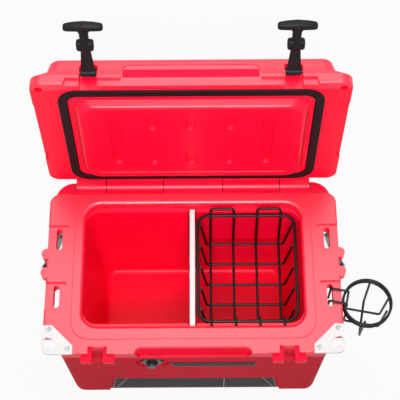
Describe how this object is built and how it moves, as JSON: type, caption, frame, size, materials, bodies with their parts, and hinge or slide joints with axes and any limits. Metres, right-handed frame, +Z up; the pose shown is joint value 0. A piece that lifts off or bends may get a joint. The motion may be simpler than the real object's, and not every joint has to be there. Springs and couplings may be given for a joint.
{
  "type": "hard-sided cooler",
  "caption": "Moulded ice chest with a hinged insulated lid, rubber T-latches, bail handle, divider, wire basket, cup holder and vent valve.",
  "frame": {"origin": "on the ground, under the middle of the body", "axes": "+Z up, +X to the cooler's right seen from the front, +Y to its back"},
  "size_m": [0.5857, 0.387, 0.6619],
  "materials": {
    "red_plastic": "smooth moulded red",
    "fill_plug": "plain red",
    "foam": "rigid foam",
    "black_rubber": "matt black",
    "white_plastic": "smooth white",
    "white_plate": "bright white",
    "black_plastic": "satin black",
    "steel": "bright",
    "rod_steel": "drawn",
    "black_wire": "black powder-coated wire",
    "name_strip": "plain dark strip with nothing on it",
    "label_strip": "plain dark strip with nothing on it"
  },
  "bodies": {
    "body": {"body_shell": "red_plastic", "body_foam": "foam", "body_fill_plug": "black_rubber", "rubber_feet": "black_rubber", "corner_plate_left": "white_plate", "corner_plate_right": "white_plate", "corner_plate_screws": "steel", "bail_pivot_bolts": "steel", "bail_washers": "steel", "hinge_rod": "rod_steel", "hinge_rod_caps": "steel", "vent_seal": "black_rubber", "vent_body": "black_plastic", "vent_spring": "steel", "nameplate": "name_strip", "lower_label": "label_strip"},
    "lid": {"lid_shell": "red_plastic", "lid_foam": "foam", "lid_fill_plug": "fill_plug", "lid_seal": "black_rubber", "latch_pins": "steel"},
    "left_latch": {"latch_left": "black_rubber"},
    "right_latch": {"latch_right": "black_rubber"},
    "bail": {"bail_arm_left": "black_plastic", "bail_arm_right": "black_plastic", "bail_crossbar": "rod_steel", "bail_grip": "black_rubber"},
    "basket": {"basket_rim": "black_wire", "basket_long_wires": "black_wire", "basket_cross_wires": "black_wire"},
    "divider": {"divider_board": "white_plastic"},
    "cup_holder": {"cup_holder_rings": "black_wire", "cup_holder_frames": "black_wire", "cup_holder_cradle": "black_wire"},
    "button": {"vent_button": "black_plastic"}
  },
  "joints": [
    {"name": "lid_hinge", "type": "hinge", "parent": "body", "child": "lid", "pos_m": [0, 0.151, 0.2675], "axis": [-1, 0, 0], "range_deg": [-93.5, 0]},
    {"name": "left_latch_pivot", "type": "hinge", "parent": "lid", "child": "left_latch", "pos_m": [-0.155, 0.19986, 0.55856], "axis": [-1, 0, 0], "range_deg": [-89.2, 0]},
    {"name": "right_latch_pivot", "type": "hinge", "parent": "lid", "child": "right_latch", "pos_m": [0.155, 0.19986, 0.55856], "axis": [-1, 0, 0], "range_deg": [-89.2, 0]},
    {"name": "bail_pivot", "type": "hinge", "parent": "body", "child": "bail", "pos_m": [0, 0.009, 0.236], "axis": [1, 0, 0], "range_deg": [0, 54]},
    {"name": "basket_lift", "type": "slide", "parent": "body", "child": "basket", "axis": [0, 0, 1], "range_m": [0, 0.15]},
    {"name": "divider_lift", "type": "slide", "parent": "body", "child": "divider", "axis": [0, 0, 1], "range_m": [0, 0.25]},
    {"name": "cup_holder_lift", "type": "slide", "parent": "body", "child": "cup_holder", "axis": [0, 0, 1], "range_m": [0, 0.045]},
    {"name": "vent_press", "type": "slide", "parent": "body", "child": "button", "axis": [0, 1, 0], "range_m": [0, 0.003], "stiffness_N_per_m": 400, "springref_m": -0.002, "deforming": ["vent_spring"]}
  ]
}
